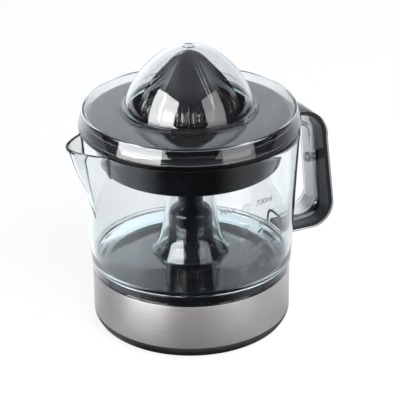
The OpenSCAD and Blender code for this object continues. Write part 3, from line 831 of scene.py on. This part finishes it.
def strainer():
    """Deep dish with a rim band, a lip that sits on the jug and two rings of radial slots."""
    hub = NECK_R + 1
    low = STRAINER_FLOOR - STRAINER_T - 0.6
    top = STRAINER_HIGH.z
    sits = RIM_Z + 0.15
    lip_top = RIM_Z + 3.3
    hub_top = STRAINER_FLOOR + 4.5
    collar = chimney_r(COLLAR_Z) + 0.6
    collar_out = collar + COLLAR_T
    outline = rounded([(hub, low, 0), (collar, low, 0), (collar, COLLAR_Z, 0.3),
                       (collar_out, COLLAR_Z, 0.6), (collar_out, low, 1.2),
                       (STRAINER_FLOOR_R - 0.3, low, 3.6),
                       (STRAINER_R - 1.5, sits, 0.6), (LIP_R, sits, 0.8), (LIP_R, lip_top, 0.6),
                       (STRAINER_R, lip_top, 0.5), (STRAINER_R, top, 1.1), (STRAINER_R - 2.5, top, 1.1),
                       (STRAINER_R - 2.6, RIM_Z + 3, 1.5), (STRAINER_FLOOR_R - 1.6, STRAINER_FLOOR, 3.2),
                       (hub + 2, STRAINER_FLOOR, 0.8), (hub + 2, hub_top, 0.5), (hub, hub_top, 0.3)], 6)
    obj = as_object("strainer_dish", lathe(outline, even_angles(200)))
    cuts = []
    for i in range(SLOTS):
        for (start, end, half), turn in ((OUTER_SLOT, 2 * i), (INNER_SLOT, 2 * i + 1)):
            corners = (start, -half, low - 2.4), (end, half, STRAINER_FLOOR + 4)
            cuts.append(block(*corners, turn * math.pi / SLOTS))
    combine(obj, gathered(cuts), "DIFFERENCE")
    dress(obj, "strainer", ["strainer"], "strainer_black")


# ---- Large cone ----

# Crest of the ridges, as shares of the cone's radius and height.
CONE_LINE = [(1.0, 0.0), (1.0, 0.302), (0.985, 0.392), (0.955, 0.478), (0.882, 0.571), (0.753, 0.671),
             (0.600, 0.764), (0.441, 0.850), (0.312, 0.918), (0.176, 0.968), (0.0, 1.0)]
CONE_STEPS = 84
CREST_FALL = 1.2                    # a ridge's side falls away over this distance


def cone_edge(t):
    """Radius and height of the ridges' crests, t from 0 at the base to 1 at the point."""
    share = spline(CONE_LINE, t)
    height = CONE_LOW.z + (CONE_TOP - CONE_LOW.z) * min(share.y, 1)
    return CONE_R * min(max(share.x, 0), 1), height


def crest(distance, half_width):
    """Height share of a ridge at a distance in millimetres from the middle of its flat top."""
    return smoothstep((half_width + CREST_FALL - distance) / CREST_FALL)


def large_cone():
    """Reamer: five long blades from the point with flat facets between them, five short ridges
    between the blades lower down, and fine ribs beside those."""
    outer = [cone_edge(i / CONE_STEPS) for i in range(CONE_STEPS + 1)]
    flange = [(CONE_R - 3.0, CONE_LOW.z), (CONE_R - 0.6, CONE_LOW.z)]
    inner = [(max(r * 0.8 - 1.2, 0), z - 2.5) for r, z in reversed(outer[3:])]
    inner = [(r, z) for r, z in inner if z > CONE_LOW.z]
    outline = flange + outer[:-1] + [(0, CONE_TOP - 0.4)] + [(0, inner[0][1])]
    outline += [(r, z) for r, z in inner if r > 0.4]
    first, last = len(flange), len(flange) + CONE_STEPS
    half_pitch = math.pi / RIDGES

    def shape(r, z, angle, index):
        if not first <= index < last:
            return r, z
        up = (z - CONE_LOW.z) / (CONE_TOP - CONE_LOW.z)
        from_blade = abs(math.remainder(angle - RIDGE_TURN, 2 * half_pitch))
        from_short = half_pitch - from_blade
        high = smoothstep((up - 0.52) / 0.22)
        facet = r * (1 - math.cos(half_pitch) / math.cos(from_short))
        depth = high * (facet + min(FACET_DEPTH, 0.22 * r)) + (1 - high) * LOWER_DEPTH
        depth *= 1 - crest(r * from_blade, min(1.0, 0.2 + 0.08 * r))
        low = smoothstep((0.70 - up) / 0.06)
        depth -= low * max(depth - 0.1 - 0.06 * r * high, 0) * crest(r * from_short, 0.4)
        ribs = 0.5 - 0.5 * math.cos((angle - RIDGE_TURN - half_pitch) * RIDGES * RIBS_PER_RIDGE)
        band = smoothstep((0.60 - up) / 0.08) * smoothstep((up - 0.08) / 0.06)
        depth += RIB_DEPTH * ribs * band * smoothstep((0.34 - from_short) * 12)
        return max(r - depth, 0.2), z

    obj = as_object("reamer_cone", lathe(outline, even_angles(720), shape))
    dress(obj, "cone", ["large_cone"], "cone_black", crease=50)


# ---- Lid ----

def dome(inset, foot_z):
    """Points of the dome from its foot to its top, inset into the wall."""
    height = DOME_TOP - DOME_CENTRE - inset
    foot = math.degrees(math.asin((foot_z - DOME_CENTRE) / height))
    points = []
    for i in range(DOME_STEPS + 1):
        a = math.radians(foot + (90 - foot) * i / DOME_STEPS)
        slim = 1.03 - 0.075 * smoothstep(1.5 * i / DOME_STEPS)
        points.append(((DOME_R * slim - inset) * math.cos(a), DOME_CENTRE + height * math.sin(a)))
    return points


def lid():
    """Skirt, flat top and dome with a small gate disc on top."""
    low = LID_LOW.z
    under = LID_Z - LID_T
    lean_r = LID_R - LID_SLOPE
    outside = [(LID_R - LID_T + 0.3, low), (LID_R - 0.3, low), (LID_R, low + 0.3),
               *arc(lean_r - LID_FILLET, LID_Z - LID_FILLET, LID_FILLET, 15, 90, 8),
               (DOME_R + 5, LID_Z), (DOME_R + 3.2, LID_Z + 0.05), (DOME_R + 1.9, LID_Z + 0.35),
               (DOME_R + 0.9, LID_Z + 1.0)]
    outside += [p for p in dome(0, LID_Z + 2.2) if p[0] > GATE_R + 0.3]
    outside += [(GATE_R, DOME_TOP - 0.2), (GATE_R - 0.2, LID_HIGH.z), (0, LID_HIGH.z)]
    inside = [(0, DOME_TOP - LID_T)]
    inside += [p for p in reversed(dome(LID_T, under + 0.8)) if p[0] > 0.01]
    inside += [(DOME_R - 0.7, under + 0.4), (DOME_R + 0.6, under), (DOME_R + 4, under)]
    inside += arc(lean_r - LID_T - 0.8, under - 0.6, 0.6, 90, 15, 6)
    inside += [(LID_R - LID_T, low + 0.3)]
    obj = as_object("clear_lid", lathe(outside + inside, even_angles(200)))
    dress(obj, "lid", ["lid"], "clear_lid")


# ---- CAD nodes that stay ----

def finish_cad_nodes():
    """Gives every CAD node that still shows its slot's material."""
    slots = {part["node"]: part["material_slot"] for part in frame["record"]["subparts"]}
    for name, obj in frame["nodes"].items():
        if not obj.hide_render:
            coat(obj, slots[name])


# ---- Camera, lights and floor ----

VIEW_AZIMUTH = math.radians(-27)
VIEW_ELEVATION = math.radians(26.04)
VIEW_DISTANCE = 1.2359
VIEW_LENS = 169.35
VIEW_ROLL = math.radians(-0.556)
AIM_ACROSS = 0.00624
AIM_UP = 0.0829
AWAY = (-math.sin(VIEW_AZIMUTH), math.cos(VIEW_AZIMUTH), 0)      # level, from the camera's side
ACROSS = (math.cos(VIEW_AZIMUTH), math.sin(VIEW_AZIMUTH), 0)     # level, to the camera's right
LAMP_AIM = Vector((0, 0, 0.12))
WHITE = (1, 1, 1)
BACKDROP_TINT = (0.92, 0.95, 1)     # in reflections
BACKDROP_THROUGH = 0.92             # strength through clear plastic
FLOOR_TINT = (0.93, 0.96, 1)
FLOOR_GREY = (0.7, 0.7, 0.7)
FLOOR_GLOW = 1.1
FLOOR_GLOW_SHARE = 0.8
FLOOR_R = 6


def make_camera():
    """Camera a little to the juicer's spout side and above it."""
    a, e = VIEW_AZIMUTH, VIEW_ELEVATION
    back = Vector((math.sin(a) * math.cos(e), -math.cos(a) * math.cos(e), math.sin(e)))
    right = Vector(ACROSS)
    up = back.cross(right)
    across = math.cos(VIEW_ROLL) * right + math.sin(VIEW_ROLL) * up
    upward = math.cos(VIEW_ROLL) * up - math.sin(VIEW_ROLL) * right
    place = AIM_ACROSS * right + Vector((0, 0, AIM_UP)) + VIEW_DISTANCE * back
    data = bpy.data.cameras.new("camera")
    data.lens = VIEW_LENS
    data.clip_start = 0.05
    camera = add_object("camera", data)
    turned = Matrix((across, upward, back)).transposed().to_4x4()
    camera.matrix_world = Matrix.Translation(place) @ turned
    bpy.context.scene.camera = camera


def softbox(name, from_camera, width, height, distance, middle, radiance, mirrored=True):
    """Rectangular lamp, at an angle from the camera's side, facing the juicer. A mirrored one shows
    in the gloss, behind clear plastic too, and any other lights the matt surfaces only."""
    a = VIEW_AZIMUTH + math.radians(from_camera)
    data = bpy.data.lights.new(name, "AREA")
    data.shape = "RECTANGLE"
    data.size = width
    data.size_y = height
    data.energy = radiance * math.pi * width * height
    lamp = add_object(name, data)
    lamp.location = (distance * math.sin(a), -distance * math.cos(a), middle)
    lamp.rotation_euler = (LAMP_AIM - lamp.location).to_track_quat("-Z", "Y").to_euler()
    lamp.visible_camera = False
    lamp.visible_transmission = mirrored
    lamp.visible_glossy = mirrored
    lamp.visible_diffuse = not mirrored


def seen_through(tree):
    """1 on a ray that has only passed through clear plastic, 0 once it has been reflected."""
    turned = calculate(tree, "ADD", light_path(tree, "Glossy Depth"), light_path(tree, "Diffuse Depth"))
    straight = calculate(tree, "LESS_THAN", turned, 0.5)
    return calculate(tree, "MULTIPLY", straight, light_path(tree, "Is Transmission Ray"))


def share_along(tree, vector, direction):
    """How far a vector points along a direction, from -1 to 1."""
    made = node(tree, "ShaderNodeVectorMath", {0: vector, 1: direction}, operation="DOT_PRODUCT")
    return made.outputs["Value"]


def mix_levels(tree, share, low, high):
    return node(tree, "ShaderNodeMix", {0: share, 2: low, 3: high}).outputs[0]


def make_world():
    """Studio: bright behind and overhead, dark on the camera's side, and plain white to look at."""
    world = bpy.data.worlds.new("studio")
    bpy.context.scene.world = world
    world.use_nodes = True
    tree = world.node_tree
    tree.nodes.clear()
    direction = node(tree, "ShaderNodeTexCoord").outputs["Generated"]
    height = node(tree, "ShaderNodeSeparateXYZ", {0: direction}).outputs["Z"]
    aside = share_along(tree, direction, ACROSS)
    level = spread(tree, share_along(tree, direction, AWAY), 0.04, 0.85, 0.56, 0.74)
    left = spread(tree, aside, 1.8, 1.0, -0.3, 0.3)
    top = spread(tree, calculate(tree, "ABSOLUTE", aside), 0.38, 0.9, 0.2, 0.6)
    backdrop = calculate(tree, "MULTIPLY", level, left)
    mirrored = mix_levels(tree, spread(tree, height, 0, 1, 0.6, 0.85), backdrop, top)
    seen = mix_levels(tree, seen_through(tree), mirrored, BACKDROP_THROUGH)
    camera_ray = light_path(tree, "Is Camera Ray")
    colour = blend(tree, camera_ray, BACKDROP_TINT, WHITE)
    inputs = {"Color": colour, "Strength": mix_levels(tree, camera_ray, seen, 1.0)}
    background = node(tree, "ShaderNodeBackground", inputs)
    out = node(tree, "ShaderNodeOutputWorld")
    tree.links.new(background.outputs[0], out.inputs["Surface"])


def emission(tree, colour, strength):
    return node(tree, "ShaderNodeEmission", {"Color": (*colour, 1), "Strength": strength}).outputs[0]


def make_floor():
    """Floor that the camera sees nearly white, with a faint shadow. In reflections it glows with painted
    light and shade instead of being lit: dark in front of the juicer, grey at its sides and bright
    behind it."""
    bm = bmesh.new()
    bmesh.ops.create_circle(bm, cap_ends=True, segments=96, radius=FLOOR_R)
    floor = add_object("floor", as_mesh("floor", bm))
    material, tree, shader = new_material("floor", Roughness=0.9, Specular_IOR_Level=0.1)
    shader.inputs["Base Color"].default_value = (*FLOOR_GREY, 1)
    look = calculate(tree, "ADD", light_path(tree, "Is Camera Ray"), seen_through(tree))
    # Painted light and shade for reflections: the emission's strength is set by direction from the
    # middle, dark in front, grey at the sides, bright behind.
    outward = node(tree, "ShaderNodeVectorMath", {0: place_on(tree)}, operation="NORMALIZE").outputs[0]
    behind = share_along(tree, outward, AWAY)
    aside = spread(tree, share_along(tree, outward, ACROSS), 0.65, 0.35, -0.4, 0.4)
    sides = calculate(tree, "MULTIPLY", spread(tree, behind, 0.03, 1, -0.88, -0.60), aside)
    level = calculate(tree, "ADD", sides, spread(tree, behind, 0, 0.6, -0.1, 0.4))
    body = mix_shaders(tree, look, emission(tree, FLOOR_TINT, level), shader.outputs[0])
    glow = calculate(tree, "MULTIPLY", look, FLOOR_GLOW_SHARE)
    mixed = mix_shaders(tree, glow, body, emission(tree, WHITE, FLOOR_GLOW))
    link(tree, mixed, tree.nodes["Material Output"], "Surface")
    floor.data.materials.append(material)


make_camera()
make_world()
make_floor()
softbox("softbox_left", -51, 0.95, 0.85, 1.0, 0.50, 9.6)
softbox("softbox_right", 49, 0.67, 0.85, 1.0, 0.50, 2.6)
softbox("key", 38, 0.9, 0.9, 0.9, 1.0, 7.4, mirrored=False)
bpy.context.scene.view_settings.view_transform = "Standard"

base_housing()
steel_band()
jug()
handle_cover()
graduations()
strainer()
large_cone()
lid()
finish_cad_nodes()
